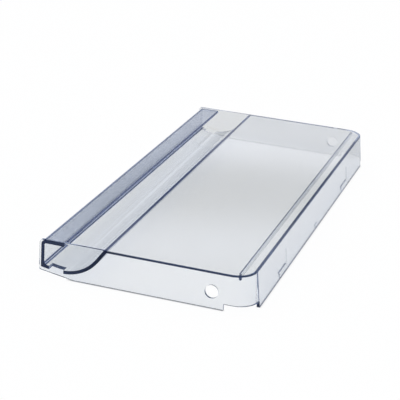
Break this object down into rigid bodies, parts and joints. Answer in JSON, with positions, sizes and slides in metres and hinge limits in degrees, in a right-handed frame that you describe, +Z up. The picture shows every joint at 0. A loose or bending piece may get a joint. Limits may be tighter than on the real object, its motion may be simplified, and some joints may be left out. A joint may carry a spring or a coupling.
{
  "type": "freezer drawer front",
  "caption": "Clear moulded front for a freezer drawer: a flat face with a scooped finger channel and lip along its top, open behind, with peg holes in its end walls.",
  "frame": {"origin": "under the middle of the front, on the surface that its rim rests on", "axes": "+X along the width, +Y towards the handle edge, +Z up through the face"},
  "size_m": [0.4618, 0.211, 0.036],
  "materials": {
    "clear_plastic": "polished clear polystyrene with a faint blue-grey tint"
  },
  "bodies": {
    "root": {"drawer_front": "clear_plastic"}
  },
  "joints": []
}
